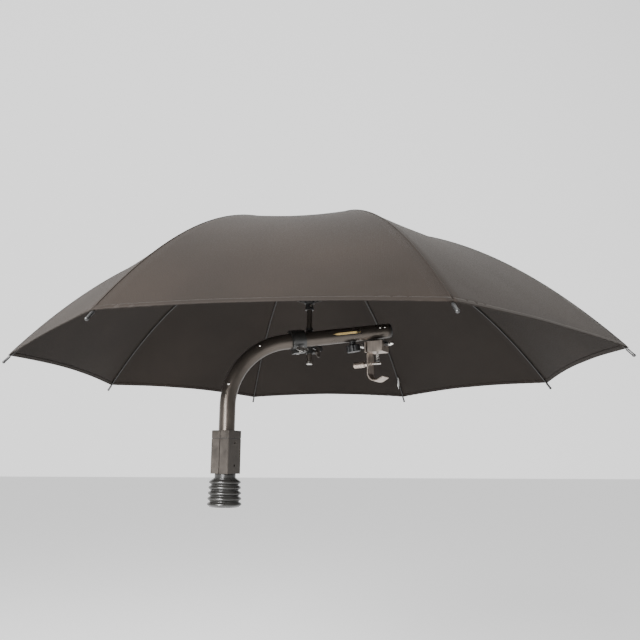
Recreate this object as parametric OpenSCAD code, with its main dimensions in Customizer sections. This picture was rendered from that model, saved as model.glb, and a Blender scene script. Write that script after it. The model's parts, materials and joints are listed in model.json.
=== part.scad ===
// Swivel bracket that clamps an open eight-rib umbrella to the curved support arm
// of a camera rig. Millimetres, +Z up, +X along the arm, origin on the mast axis
// at the mouth of the mast bore.

/* [Mast and block] */
// Inside radius of the mast bore
mast_bore_r = 12.5; // [10:0.5:13]
// Depth of the mast bore
mast_bore_depth = 45; // [30:5:50]
// Height of the bottom face of the clamp block
block_bottom = 67.5; // [66:0.5:70]
// Height of the whole clamp block
block_height = 90.5; // [85:0.5:95]
// Width of the square clamp block
block_w = 46; // [44:1:50]
// Turn of the block about the mast, in degrees
block_yaw = 45; // [0:5:90]
// Number of folds in the bellows
bellows_folds = 5; // [4:1:6]
// Largest radius of the bellows
bellows_r = 36.5; // [34:0.5:40]

/* [Arm tube] */
// Outside diameter of the arm tube
tube_od = 35; // [34:0.5:36]
// Wall of the arm tube
tube_wall = 3; // [2:0.5:4]
// Height at which the bend starts
bend_start = 210; // [190:5:230]
// Radius of the bend at the centre line
bend_r = 153; // [140:1:170]
// Angle of the bend, in degrees
bend_angle = 80.5; // [78:0.5:84]
// Length of the straight part after the bend
arm_run = 258; // [250:1:266]

/* [Bracket] */
// Distance of the jaws from the end of the bend
jaw_at = 29.5; // [24:0.5:36]
// Width of the jaws along the tube
jaw_w = 31; // [26:1:34]
// Distance from the jaws to the swivel axis, along the tube
swivel_reach = 36.7; // [34:0.1:38]
// Distance of the umbrella shaft behind the arm tube's axis
shaft_offset = 27.6; // [27.5:0.1:29]
// Angle of the swivel lever below the horizontal
lever_angle = 20; // [0:5:60]

/* [Umbrella] */
// Distance from the shaft to a corner of the canopy
canopy_r = 650; // [600:10:700]
// Height of the canopy's rim
rim_z = 302; // [290:1:320]
// Rise of the canopy from its rim to its crown
canopy_rise = 325; // [300:5:340]
// Number of ribs
rib_count = 8; // [8]
// Direction of the first rib, in degrees
rib_phase = 1; // [0:1:22]
// Diameter of the shaft
shaft_d = 12.5; // [12:0.1:13]
// How far the fabric sags between two ribs
canopy_sag = 10; // [0:1:20]
// How far the hem curves in between two ribs, as a share of the radius
hem_inset = 0.022; // [0:0.002:0.04]

/* [Hook] */
// Distance of the hook's swivel from the mast axis
hook_x = 351; // [345:1:355]
// Turn of the hook about its swivel, in degrees
hook_yaw = -48; // [-90:1:0]
// Height of the hook's axle
axle_z = 367.5; // [366:0.5:368]
// Width of the hook block along its axle
hook_block_w = 45; // [42:1:48]
// Depth of the hook block
hook_block_d = 38; // [34:1:40]

/* [Hidden] */
$fn = 64;
run_fit = 0.05;
tube_r = tube_od / 2;
slope = 90 - bend_angle;
bend_end_x = bend_r * (1 - cos(bend_angle));
bend_end_z = bend_start + bend_r * sin(bend_angle);
block_top = block_bottom + block_height;
top_clamp_h = 16.5;
shim_h = 1;
halves_top = block_top - top_clamp_h - shim_h;
mast_top = 89;
collar_bottom = 56;

liner_in = tube_r + run_fit;
liner_out = 19;
jaw_in = liner_out + run_fit;
jaw_out = 23.6;
jaw_gap = 3;
hinge_y = 14;
hinge_z = 22.5;
bolt_z = -25;
ear_h = 11;
ear_t = 10.5;
seat_depth = 0.3;
plate_y = 38;
plate_t = 6;

swivel_x = bend_end_x + (jaw_at + swivel_reach) * cos(slope);
swivel_z = bend_end_z + (jaw_at + swivel_reach) * sin(slope);
shaft_r = shaft_d / 2;
socket_bore_r = shaft_r + run_fit;
socket_r = 8.2;
socket_bottom = 341;
socket_top = 403;
socket_screw_z = 346;
shaft_bottom = 323;

crown_z = rim_z + canopy_rise;
profile_power = 2.26;
profile_share = 1.6;
cloth_t = 2;
rib_r = 2;
rib_drop = cloth_t / 2 + rib_r + 0.9;
crown_r = 10;
runner_bottom = 447;
runner_top = 472;
stretcher_foot_r = 12.5;
stretcher_foot_z = 467;
stretcher_share = 0.445;
gore_steps = 6;
radial_steps = 14;
rib_steps = 26;

half_screw_off = 20.4;
half_screw_r = 1.5;
half_head_r = 2.2;
half_screw_levels = [82, 126];
grub_r = 2.5;
grub_levels = [84.5, 131.5];
slit = 1.6;

hook_block_top = 373.5;
hook_block_bottom = 348.5;
stud_r = 2.4;
stud_head_r = 4.3;
stud_top = 383;
strip_t = 3.2;
strip_x = -17;
strip_d = 32;
j_centre_x = 1.5;
j_centre_z = 299;
j_tip_run = 13;
pin_z = 322;
pin_r = 2.8;
slot_gap = 0.4;

// ---------- placing ----------

// Puts children on the straight part of the arm, with X along the tube
module on_arm(s)
    translate([bend_end_x, 0, bend_end_z]) rotate([0, -slope, 0])
        translate([s, 0, 0]) children();

// Puts children at the jaws, with X along the tube
module at_jaws() on_arm(jaw_at) children();

// Puts children on the umbrella's axis
module on_shaft() translate([swivel_x, shaft_offset, 0]) children();

// Puts children in the hook's own frame, with X along its axle
module at_hook() translate([hook_x, 0, 0]) rotate([0, 0, hook_yaw]) children();

// A cylinder along X from x0 to x1
module rod_x(r, x0, x1) translate([x0, 0, 0]) rotate([0, 90, 0]) cylinder(r = r, h = x1 - x0);

// A cylinder along Y from y0 to y1
module rod_y(r, y0, y1) translate([0, y0, 0]) rotate([-90, 0, 0]) cylinder(r = r, h = y1 - y0);

// A ring with its axis along Z
module ring(r_out, r_in, z0, z1)
    translate([0, 0, z0]) difference() {
        cylinder(r = r_out, h = z1 - z0);
        translate([0, 0, -1]) cylinder(r = r_in, h = z1 - z0 + 2);
    }

// A box between two corners
module span(a, b) translate(a) cube([b.x - a.x, b.y - a.y, b.z - a.z]);

// ---------- mast ----------

module mast_tube()
    color("dimgray") difference() {
        cylinder(r = tube_r, h = mast_top);
        translate([0, 0, -1]) cylinder(r = mast_bore_r, h = mast_bore_depth + 1);
    }

// Radius of the bellows' outside at a height
function fold_r(z) =
    let (pitch = collar_bottom / bellows_folds, crest = bellows_r - 3 * z / collar_bottom)
    crest - 4.2 * (1 + cos(360 * z / pitch)) / 2;

module bellows() {
    steps = bellows_folds * 8;
    wall = 2.2;
    heights = [for (i = [0:steps]) collar_bottom * i / steps];
    outside = [for (z = heights) [fold_r(z), z]];
    inside = [for (i = [steps:-1:0]) [fold_r(heights[i]) - wall, heights[i]]];
    color([0.2, 0.19, 0.17]) {
        rotate_extrude() polygon(concat(outside, inside));
        ring(fold_r(0) - wall, tube_r, 0, 3);
        ring(fold_r(collar_bottom) - wall, tube_r, collar_bottom - 3, collar_bottom);
    }
}

module bellows_collar()
    color([0.14, 0.13, 0.12]) rotate_extrude()
        polygon([[tube_r, collar_bottom], [25, collar_bottom], [25, collar_bottom + 2],
                 [22.5, collar_bottom + 3.5], [22.5, block_bottom - 1], [21.5, block_bottom],
                 [tube_r, block_bottom]]);

// Square prism with small chamfers on its corners
module block_prism(z0, z1, inset = 0) {
    h = block_w / 2 - inset;
    c = 1.2;
    translate([0, 0, z0]) in_block() linear_extrude(z1 - z0)
        polygon([[h, -h + c], [h, h - c], [h - c, h], [-h + c, h], [-h, h - c], [-h, -h + c],
                 [-h + c, -h], [h - c, -h]]);
}

// Puts children in the block's own frame, with the slit in the X-Z plane
module in_block() rotate([0, 0, block_yaw]) children();

// Stepped bore: tight on the mast, running on the arm tube
module block_bore() {
    translate([0, 0, block_bottom - 1]) cylinder(r = tube_r, h = mast_top - block_bottom + 1);
    translate([0, 0, mast_top]) cylinder(r = tube_r + run_fit, h = block_top - mast_top + 1);
}

// Clamp screws that pull the two halves together, across the slit
module block_screws()
    color("silver") in_block() for (z = half_screw_levels, side = [-1, 1])
        translate([side * half_screw_off, 0, z]) {
            rod_y(half_screw_r, -14, block_w / 2 - 2.5);
            rod_y(half_head_r, block_w / 2 - 2.5, block_w / 2 - 0.2);
        }

// Holes for the clamp screws and their heads
module half_screw_holes()
    for (z = half_screw_levels, side = [-1, 1]) translate([side * half_screw_off, 0, z]) {
        rod_y(half_screw_r, -14, block_w);
        rod_y(half_head_r, block_w / 2 - 2.5, block_w);
    }

// One half of the block, on the side of the slit that side (-1 or 1) says
module block_half(side)
    difference() {
        block_prism(block_bottom, halves_top);
        block_bore();
        in_block() {
            translate([0, side < 0 ? 50 - slit / 2 : -50 + slit / 2, 100])
                cube([100, 100, 200], center = true);
            half_screw_holes();
            for (z = grub_levels) translate([0, 0, z]) rod_y(grub_r, -block_w, -tube_r + 1);
        }
    }

module block_half_left() color([0.4, 0.38, 0.36]) block_half(1);

module block_half_right() color([0.33, 0.31, 0.29]) block_half(-1);

module block_shim()
    color([0.12, 0.12, 0.12]) difference() {
        block_prism(halves_top, halves_top + shim_h, 0.8);
        block_bore();
    }

module block_top_clamp()
    color([0.36, 0.34, 0.32]) difference() {
        block_prism(halves_top + shim_h, block_top);
        block_bore();
        in_block() span([-60, -slit / 2, 0], [0, slit / 2, 300]);
    }

// Radial screws in the middle of one face, with a hex socket each
module grub_screws()
    color([0.1, 0.1, 0.1]) in_block() for (z = grub_levels) translate([0, 0, z]) difference() {
        rod_y(grub_r, -block_w / 2 + 1.6, -tube_r - 0.2);
        translate([0, -block_w / 2 + 1, 0]) rotate([-90, 0, 0]) cylinder(r = 1.3, h = 2.2, $fn = 6);
    }

// ---------- arm ----------

weld_gap = 0.005;

// Foot, bend and run of the one bent tube
module tube_stretches() {
    bore_r = tube_r - tube_wall;
    ring(tube_r, bore_r, mast_top + 1, bend_start - weld_gap);
    translate([bend_r, 0, bend_start]) rotate([90, 0, 0]) rotate([0, 0, 180 - bend_angle])
        difference() {
            rotate_extrude(angle = bend_angle) translate([bend_r, 0]) circle(r = tube_r);
            rotate([0, 0, -1]) rotate_extrude(angle = bend_angle + 2)
                translate([bend_r, 0]) circle(r = bore_r);
        }
    on_arm(0) difference() {
        rod_x(tube_r, weld_gap, arm_run);
        rod_x(bore_r, -1, arm_run + 1);
    }
}

rivet_r = 3.2;
rivet_h = 1.6;
rivet_lean = 24;

// The two places of the rivets: distance round the bend, in degrees
rivet_angles = [17.5, 57.5];
rivet_turn = 30;

module each_rivet()
    for (a = rivet_angles)
        translate([bend_r * (1 - cos(a)), 0, bend_start + bend_r * sin(a)]) rotate([0, a, 0])
            rotate([0, 0, -rivet_turn]) rotate([90, 0, 0]) children();

cap_screw_spots = [231.5, 243.5];

module each_cap_screw()
    for (s = cap_screw_spots) on_arm(s) rotate([90 - rivet_lean, 0, 0]) children();

knob_at = 162;
knob_drop = 5.5;
knob_stud_r = 3;

module arm_tube()
    color([0.16, 0.15, 0.14]) difference() {
        tube_stretches();
        each_rivet() cylinder(r = 1.6, h = 40);
        each_cap_screw() cylinder(r = 1.6, h = 40);
        on_arm(knob_at) translate([0, 0, -tube_od]) cylinder(r = knob_stud_r + 0.15, h = tube_od);
        translate([hook_x, 0, hook_block_top]) cylinder(r = stud_r, h = 20);
    }

module arm_rivets()
    color("silver") each_rivet() {
        translate([0, 0, tube_r - tube_wall - 1]) cylinder(r = 1.6, h = tube_wall + 1.5);
        translate([0, 0, tube_r + 0.2]) cylinder(r1 = rivet_r, r2 = 1.6, h = rivet_h);
    }

module end_cap() {
    tip = 5.5;
    color([0.1, 0.1, 0.1]) on_arm(arm_run) difference() {
        rotate([0, 90, 0]) rotate_extrude()
            polygon(concat([[0, -30], [tube_r - tube_wall, -30], [tube_r - tube_wall, 0], [tube_r, 0]],
                           [for (a = [0:15:90]) [tube_r - tip * (1 - cos(a)), tip * sin(a)]],
                           [[0, tip]]));
        for (s = cap_screw_spots) translate([s - arm_run, 0, 0])
            rotate([90 - rivet_lean, 0, 0]) cylinder(r = 1.6, h = 40);
    }
}

module cap_screws()
    color("silver") each_cap_screw() {
        translate([0, 0, tube_r - 7]) cylinder(r = 1.6, h = 7.3);
        translate([0, 0, tube_r + 0.2]) cylinder(r1 = 2.6, r2 = 2, h = 1.4);
    }

// Boss under the tube that takes the thumb knob's stud
module knob_boss()
    color([0.1, 0.1, 0.1]) on_arm(knob_at) difference() {
        translate([0, 0, -tube_r - knob_drop]) cylinder(r = 7.5, h = knob_drop + 4);
        rod_x(tube_r, -20, 20);
        translate([0, 0, -tube_od]) cylinder(r = knob_stud_r + 0.15, h = tube_od);
    }

module arm_knob() {
    knob_r = 16.5;
    knob_h = 18;
    lobes = 7;
    color([0.13, 0.12, 0.12]) on_arm(knob_at)
        translate([0, 0, -tube_r - knob_drop - 0.4 - knob_h]) difference() {
            union() {
                cylinder(r = knob_r, h = knob_h - 3);
                translate([0, 0, knob_h - 3]) cylinder(r1 = knob_r - 3, r2 = 8, h = 3);
            }
            for (i = [0:lobes - 1]) rotate([0, 0, i * 360 / lobes])
                translate([knob_r + 2, 0, -1]) cylinder(r = 4.2, h = knob_h + 2);
            translate([0, 0, -1]) cylinder(r = knob_stud_r, h = knob_h + 2);
        }
}

module arm_knob_stud()
    color("silver") on_arm(knob_at)
        translate([0, 0, -tube_r - knob_drop - 18.4]) cylinder(r = knob_stud_r, h = 28);

// ---------- bracket ----------

// A ring about the tube, w wide
module tube_ring(r_out, r_in, w)
    difference() {
        rod_x(r_out, -w / 2, w / 2);
        rod_x(r_in, -w, w);
    }

// Soft split sleeve between the jaws and the tube
module jaw_liner()
    color([0.07, 0.07, 0.07]) at_jaws() difference() {
        tube_ring(liner_out, liner_in, jaw_w + 2);
        span([-jaw_w, -1, -40], [jaw_w, 1, 0]);
    }

hinge_r = 2.5;
knuckle_r = 5.2;
split_y = 9.4;

module knuckle()
    translate([0, hinge_y, hinge_z]) rod_x(knuckle_r, 0.3 - jaw_w / 2, jaw_w / 2 - 0.3);

module hinge_hole() translate([0, hinge_y, hinge_z]) rod_x(hinge_r, -jaw_w, jaw_w);

// Rear jaw: half ring, lower ear, hinge knuckles and the pad behind it
module jaw_rear()
    color([0.09, 0.09, 0.09]) at_jaws() difference() {
        union() {
            difference() {
                rod_x(jaw_out, -jaw_w / 2, jaw_w / 2);
                span([-jaw_w, -60, -60], [jaw_w, jaw_gap / 2, 0]);
                span([-jaw_w, -60, -1], [jaw_w, split_y + 0.3, 60]);
            }
            span([-jaw_w / 2, jaw_gap / 2, bolt_z - ear_h / 2 + 1],
                 [jaw_w / 2, ear_t, -jaw_in + 2]);
            knuckle();
            span([-12, jaw_in - 1, -11], [12, plate_y, 11]);
        }
        rod_x(jaw_in, -jaw_w, jaw_w);
        hinge_hole();
        translate([0, hinge_y, hinge_z]) rod_x(knuckle_r + 0.3, -jaw_w / 6 - 0.3, jaw_w / 6 + 0.3);
        translate([0, 0, bolt_z]) {
            rod_y(3, -20, 40);
            rod_y(6, ear_t - seat_depth, 20);
        }
    }

// Front jaw: half ring, lower ear and the middle knuckle
module jaw_front()
    color([0.11, 0.11, 0.11]) at_jaws() difference() {
        union() {
            difference() {
                rod_x(jaw_out, -jaw_w / 2, jaw_w / 2);
                span([-jaw_w, -jaw_gap / 2, -60], [jaw_w, 60, 1]);
                span([-jaw_w, split_y - 0.3, 0], [jaw_w, 60, 60]);
            }
            span([-jaw_w / 2, -ear_t, bolt_z - ear_h / 2 + 1],
                 [jaw_w / 2, -jaw_gap / 2, -jaw_in + 2]);
            knuckle();
        }
        rod_x(jaw_in, -jaw_w, jaw_w);
        hinge_hole();
        for (side = [-1, 1]) translate([side * jaw_w / 3, hinge_y, hinge_z])
            rod_x(knuckle_r + 0.3, -jaw_w / 6 - 0.2, jaw_w / 6 + 0.2);
        translate([0, 0, bolt_z]) {
            rod_y(3 + run_fit, -20, 0);
            rod_y(5.5, -20, seat_depth - ear_t);
        }
    }

module jaw_hinge_pin()
    color("silver") at_jaws() translate([0, hinge_y, hinge_z]) {
        rod_x(hinge_r, -jaw_w / 2, jaw_w / 2);
        for (side = [-1, 1]) translate([side * (jaw_w / 2 + 0.8), 0, 0]) rod_x(3.4, -0.8, 0.8);
    }

module clamp_nut()
    color("silver") at_jaws() translate([0, ear_t - seat_depth, bolt_z]) rotate([-90, 0, 0]) difference() {
        cylinder(r = 5.6, h = 4.5, $fn = 6);
        translate([0, 0, -1]) cylinder(r = 3 + run_fit, h = 7);
    }

// Bolt that closes the two ears
module clamp_bolt()
    color("silver") at_jaws() translate([0, 0, bolt_z]) {
        rod_y(3 - run_fit, -24, 17);
        rod_y(5, -13.5, -ear_t);
    }

// Wing on the bolt's front end
module clamp_wing()
    color([0.75, 0.74, 0.72]) at_jaws() translate([0, 0, bolt_z]) difference() {
        union() {
            rod_y(5.4, -31, -23);
            rotate([0, 14, 0]) translate([0, -31, 0]) rotate([-90, 0, 0]) linear_extrude(4)
                hull() for (side = [-1, 1]) translate([side * 10, 0]) circle(r = 3.6);
        }
        rod_y(3 - run_fit, -24, -20);
    }

// Plate from the rear jaw's pad to the swivel axis
module swivel_arm()
    color([0.1, 0.1, 0.1]) at_jaws() difference() {
        union() {
            span([-12, plate_y, -11], [swivel_reach, plate_y + plate_t, 11]);
            translate([swivel_reach, 0, 0]) rod_y(13, plate_y, plate_y + plate_t);
            translate([swivel_reach, 0, 0]) rod_y(8, plate_y + plate_t, plate_y + plate_t + 1.5);
        }
        translate([swivel_reach, 0, 0]) rod_y(3 + run_fit, 0, 80);
    }

// Puts children at the swivel, with Y along its axis
module at_swivel() translate([swivel_x, 0, swivel_z]) children();

rosette_y = 36;
rosette_gap = 0.3;

// Split sleeve that holds the umbrella's shaft, with its swivel boss and screw boss
module shaft_socket()
    color([0.08, 0.08, 0.08]) difference() {
        union() {
            on_shaft() {
                translate([0, 0, socket_bottom]) cylinder(r = socket_r, h = socket_top - socket_bottom);
                translate([0, 0, socket_top - 6]) cylinder(r = socket_r + 0.9, h = 4);
                translate([0, 0, socket_screw_z]) rod_x(4.6, 0, 12.5);
            }
            at_swivel() rod_y(10, shaft_offset, rosette_y);
        }
        on_shaft() {
            translate([0, 0, socket_bottom - 1])
                cylinder(r = socket_bore_r, h = socket_top - socket_bottom + 2);
            translate([0, 0, socket_screw_z]) rod_x(2.5 + run_fit, 0, 20);
            translate([-0.6, -12, socket_top - 22]) cube([1.2, 12, 30]);
        }
        at_swivel() rod_y(3, shaft_offset + shaft_r + 1, 60);
    }

// Toothed disc between the socket and the swivel plate
module swivel_rosette() {
    teeth = 24;
    color("gray") at_swivel() difference() {
        rod_y(11.5, rosette_y, plate_y - rosette_gap);
        rod_y(3, rosette_y - 1, 60);
        for (i = [0:teeth - 1]) rotate([0, i * 360 / teeth, 0])
            translate([7.5, plate_y - rosette_gap - 0.5, -0.35]) cube([6, 2, 0.7]);
    }
}

module swivel_bolt()
    color("silver") at_swivel() rod_y(3, shaft_offset + shaft_r + 1.2, 58);

// Handle that locks the swivel
module swivel_lever() {
    hub_y = plate_y + plate_t + 1.5 + 0.3;
    reach = 36;
    color([0.1, 0.1, 0.1]) at_swivel() difference() {
        union() {
            rod_y(8, hub_y, hub_y + 11);
            rotate([0, lever_angle, 0]) hull($fn = 32) {
                rod_y(5.5, hub_y + 4, hub_y + 10.4);
                translate([reach, 0, 0]) rod_y(6.2, hub_y + 4.6, hub_y + 11.4);
            }
        }
        rod_y(3 + run_fit, hub_y - 1, hub_y + 20);
    }
}

module socket_screw()
    color("silver") on_shaft() translate([0, 0, socket_screw_z])
        rod_x(2.5, shaft_r + 0.4, 17);

module socket_wing() {
    color([0.5, 0.49, 0.47]) on_shaft() translate([0, 0, socket_screw_z]) difference() {
        union() {
            rod_x(4.8, 13, 19);
            translate([15, 0, 0]) rotate([-15, 0, 0]) hull() {
                translate([0, -1.6, -3]) cube([4, 3.2, 6]);
                for (side = [-1, 1]) translate([7, 0, side * 9]) rod_y(3.6, -1.6, 1.6);
            }
        }
        rod_x(2.5, 12, 17);
    }
}

// ---------- umbrella ----------

module shaft_ferrule()
    color("silver") on_shaft() rotate_extrude()
        polygon([[0, shaft_bottom - 7], [6.4, shaft_bottom - 7], [7.1, shaft_bottom - 6],
                 [7.1, shaft_bottom - 0.1], [0, shaft_bottom - 0.1]]);

module shaft()
    color([0.05, 0.05, 0.05]) on_shaft() ring(shaft_r, shaft_r - 1, shaft_bottom, crown_z + 2);

module crown()
    color([0.09, 0.09, 0.09]) on_shaft() difference() {
        union() {
            translate([0, 0, crown_z - 17]) cylinder(r = crown_r, h = 12);
            translate([0, 0, crown_z - 20]) cylinder(r = crown_r - 2, h = 3);
        }
        translate([0, 0, crown_z - 21]) cylinder(r = shaft_r, h = 20);
    }

module top_ferrule()
    color([0.06, 0.06, 0.06]) on_shaft() rotate_extrude()
        polygon([[0, crown_z + 2], [shaft_r + 1, crown_z + 2], [14, crown_z + 1.2],
                 [13, crown_z + 4.5], [7.5, crown_z + 7], [6.2, crown_z + 20], [4.4, crown_z + 58],
                 [4.2, crown_z + 62], [2.6, crown_z + 64.5], [0, crown_z + 65]]);

module runner()
    color([0.05, 0.05, 0.05]) on_shaft() difference() {
        union() {
            translate([0, 0, runner_bottom + 5]) cylinder(r = 9.4, h = runner_top - runner_bottom - 5);
            translate([0, 0, runner_top - 9]) cylinder(r = 12.3, h = 7);
        }
        cylinder(r = shaft_r + run_fit, h = 600);
        translate([0, -14, runner_bottom + 9]) cube([6.5, 30, 7], center = true);
    }

module runner_collar()
    color([0.12, 0.12, 0.12]) on_shaft()
        ring(10.6, shaft_r + run_fit, runner_bottom, runner_bottom + 5);

// Sprung button that lets the runner go
module runner_catch()
    color("silver") on_shaft() span([-3, -11, runner_bottom + 6], [3, -7.6, runner_bottom + 12]);

// Height of the canopy's middle surface above the ribs, by share of the radius
function rib_z(t) = rim_z + canopy_rise
    * (1 - (1 - profile_share) * pow(t, 2) - profile_share * pow(t, profile_power));

// Middle surface of the canopy: t from crown to rim, a from one rib to the next (-1 to 1)
function cloth_point(t, a, i) =
    let (half = 180 / rib_count, bulge = 1 - a * a,
         chord = cos(half) / cos(half * a), inset = 1 - hem_inset * pow(t, 2) * bulge,
         r = canopy_r * t * chord * inset, angle = rib_phase + (i + 0.5 + a / 2) * 2 * half,
         z = rib_z(t) - canopy_sag * bulge * sin(180 * pow(t, 0.8)))
    [r * cos(angle), r * sin(angle), z];

// The cloth: one closed sheet sewn from all the gores
module canopy() {
    across = rib_count * gore_steps;
    t0 = 0.0125;
    shares = [for (j = [0:radial_steps]) t0 + (1 - t0) * j / radial_steps];
    layer = [for (t = shares, k = [0:across - 1])
        cloth_point(t, 2 * (k % gore_steps) / gore_steps - 1, floor(k / gore_steps))];
    top = [for (p = layer) p + [0, 0, cloth_t / 2]];
    under = [for (p = layer) p - [0, 0, cloth_t / 2]];
    n = len(layer);
    function at(j, k) = j * across + k % across;
    faces = concat(
        [for (j = [0:radial_steps - 1], k = [0:across - 1], half = [0, 1])
            half == 0 ? [at(j, k), at(j, k + 1), at(j + 1, k)]
                      : [at(j, k + 1), at(j + 1, k + 1), at(j + 1, k)]],
        [for (j = [0:radial_steps - 1], k = [0:across - 1], half = [0, 1])
            half == 0 ? [n + at(j, k), n + at(j + 1, k), n + at(j, k + 1)]
                      : [n + at(j, k + 1), n + at(j + 1, k), n + at(j + 1, k + 1)]],
        [for (k = [0:across - 1], half = [0, 1])
            half == 0 ? [at(radial_steps, k), at(radial_steps, k + 1), n + at(radial_steps, k)]
                      : [at(radial_steps, k + 1), n + at(radial_steps, k + 1),
                         n + at(radial_steps, k)]],
        [for (k = [0:across - 1], half = [0, 1])
            half == 0 ? [at(0, k), n + at(0, k), at(0, k + 1)]
                      : [at(0, k + 1), n + at(0, k), n + at(0, k + 1)]]);
    color([0.3, 0.27, 0.25]) on_shaft() polyhedron(concat(top, under), faces);
}

// Slope of the rib's profile, as rise over run
function rib_grade(t) = (rib_z(t + 0.001) - rib_z(t - 0.001)) / (0.002 * canopy_r);

// Centre of a rib at a share of the radius, on the under side of the cloth
function rib_centre(t) =
    let (g = rib_grade(t), n = 1 / sqrt(1 + g * g))
    [canopy_r * t + rib_drop * g * n, rib_z(t) - rib_drop * n];

// A bent rod in the X-Z plane through points, with a round section of eight sides
module bent_rod(points, r) {
    sides = 8;
    n = len(points);
    rings = [for (i = [0:n - 1])
        let (d = points[min(i + 1, n - 1)] - points[max(i - 1, 0)], u = d / norm(d))
        for (s = [0:sides - 1])
            let (c = r * cos(360 * s / sides), w = r * sin(360 * s / sides))
            [points[i].x - u.y * c, w, points[i].y + u.x * c]];
    faces = concat(
        [for (i = [0:n - 2], s = [0:sides - 1])
            [i * sides + s, i * sides + (s + 1) % sides, (i + 1) * sides + (s + 1) % sides,
             (i + 1) * sides + s]],
        [[for (s = [sides - 1:-1:0]) s]],
        [[for (s = [0:sides - 1]) (n - 1) * sides + s]]);
    polyhedron(rings, faces);
}

module rib(i) {
    t0 = (crown_r + 0.6) / canopy_r;
    color([0.1, 0.1, 0.1]) on_shaft() rotate([0, 0, rib_phase + 360 * (i - 1) / rib_count])
        bent_rod([for (k = [0:rib_steps]) rib_centre(t0 + (1 - t0) * k / rib_steps)], rib_r);
}

// Caps on the ribs' ends, past the hem, with a small ball each
module rib_tips() {
    tip = rib_centre(1);
    fall = atan(-rib_grade(1));
    for (i = [1:rib_count])
        color([0.12, 0.12, 0.12]) on_shaft() rotate([0, 0, rib_phase + 360 * (i - 1) / rib_count])
            translate([tip.x, 0, tip.y]) rotate([0, 90 + fall, 0]) {
                cylinder(r = 2.6, h = 15);
                translate([0, 0, 15.5]) sphere(r = 3.1, $fn = 32);
            }
}

// Struts from the runner to the ribs
module stretchers() {
    head = rib_centre(stretcher_share) - [0, 4.2];
    run = head.x - stretcher_foot_r;
    rise = head.y - stretcher_foot_z;
    for (i = [1:rib_count])
        color([0.08, 0.08, 0.08]) on_shaft() rotate([0, 0, rib_phase + 360 * (i - 1) / rib_count])
            translate([stretcher_foot_r, 0, stretcher_foot_z]) rotate([0, -atan2(rise, run), 0]) {
                rod_x(1.6, 0, norm([run, rise]));
                translate([norm([run, rise]), 0, 0]) rod_y(2.4, -2.2, 2.2);
            }
}

// ---------- hook ----------

swivel_cap_top = bend_end_z + (hook_x - bend_end_x) * tan(slope) - tube_r / cos(slope);

// Short turning stop between the tube and the hook block
module swivel_cap()
    color([0.07, 0.07, 0.07]) translate([hook_x, 0, 0])
        ring(9, 2.5, hook_block_top, swivel_cap_top - 1.8);

// Stud from the tube's lower wall that the hook's block turns on
module hook_stud()
    color("silver") translate([hook_x, 0, 0]) {
        translate([0, 0, hook_block_top - 1]) cylinder(r = stud_r, h = stud_top - hook_block_top + 1);
        translate([0, 0, hook_block_top - 2.6]) cylinder(r = stud_head_r, h = 2.4);
    }

module hook_block()
    color([0.58, 0.55, 0.5]) at_hook() difference() {
        span([-hook_block_w / 2, -hook_block_d / 2, hook_block_bottom],
             [hook_block_w / 2, hook_block_d / 2, hook_block_top]);
        translate([0, 0, axle_z]) rod_x(3, -50, 50);
        span([strip_x - strip_t / 2 - slot_gap, -40, 0],
             [strip_x + strip_t / 2 + slot_gap, 40, axle_z + 4.9]);
        translate([2.6, 0, hook_block_bottom - 1]) cylinder(r = 2, h = 14);
        translate([0, 0, hook_block_top - 2.8]) cylinder(r = stud_head_r + run_fit, h = 5);
    }

module hook_axle()
    color("silver") at_hook() translate([0, 0, axle_z]) rod_x(3, -38, 38);

module axle_spacers()
    color([0.08, 0.08, 0.08]) at_hook() translate([0, 0, axle_z])
        for (side = [0, 1]) mirror([side, 0, 0]) difference() {
            rod_x(5.6, hook_block_w / 2, 32);
            rod_x(3, 20, 40);
        }

module dome_nuts()
    color("silver") at_hook() translate([0, 0, axle_z])
        for (side = [0, 1]) mirror([side, 0, 0]) difference() {
            union() {
                translate([32, 0, 0]) rotate([0, 90, 0]) cylinder(r = 5.8, h = 6, $fn = 6);
                translate([38, 0, 0]) rotate([0, 90, 0]) rotate_extrude()
                    polygon([for (a = [0:15:90]) [5 * cos(a), 6 * sin(a)], [0, 0]]);
            }
            rod_x(3, 30, 38);
        }

// Side view of the J as [x, z] points: up the strip, round the bow and along the lip
function j_side(r) =
    let (end = 120, tip = [cos(180 + end), sin(180 + end)], way = [-tip.y, tip.x])
    concat([[j_centre_x - r, axle_z + 8]],
           [for (a = [0:6:end]) [j_centre_x + r * cos(180 + a), j_centre_z + r * sin(180 + a)]],
           [[j_centre_x, j_centre_z] + r * tip + j_tip_run * way]);

// Front view of the J's strip as [y, z] points: wide below, narrow at the axle
function j_front() =
    let (h = strip_d / 2, hub = 4.6, half = [[h, 270], [h, 343], [5.2, 357]])
    concat([for (p = half) p], [for (a = [0:15:180]) [hub * cos(a), axle_z + hub * sin(a)]],
           [for (i = [len(half) - 1:-1:0]) [-half[i].x, half[i].y]]);

module j_hook() {
    bow_r = j_centre_x - strip_x;
    inner = j_side(bow_r - strip_t / 2);
    outline = concat(j_side(bow_r + strip_t / 2), [for (i = [len(inner) - 1:-1:0]) inner[i]]);
    color([0.72, 0.69, 0.66]) at_hook() difference() {
        intersection() {
            translate([0, strip_d, 0]) rotate([90, 0, 0]) linear_extrude(2 * strip_d)
                polygon(outline);
            rotate([90, 0, 90]) translate([0, 0, -60]) linear_extrude(120) polygon(j_front());
        }
        translate([0, 0, axle_z]) rod_x(3 + run_fit, -40, 40);
        translate([0, 0, pin_z]) rod_x(pin_r + run_fit, strip_x - 4, strip_x + 4);
    }
}

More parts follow.
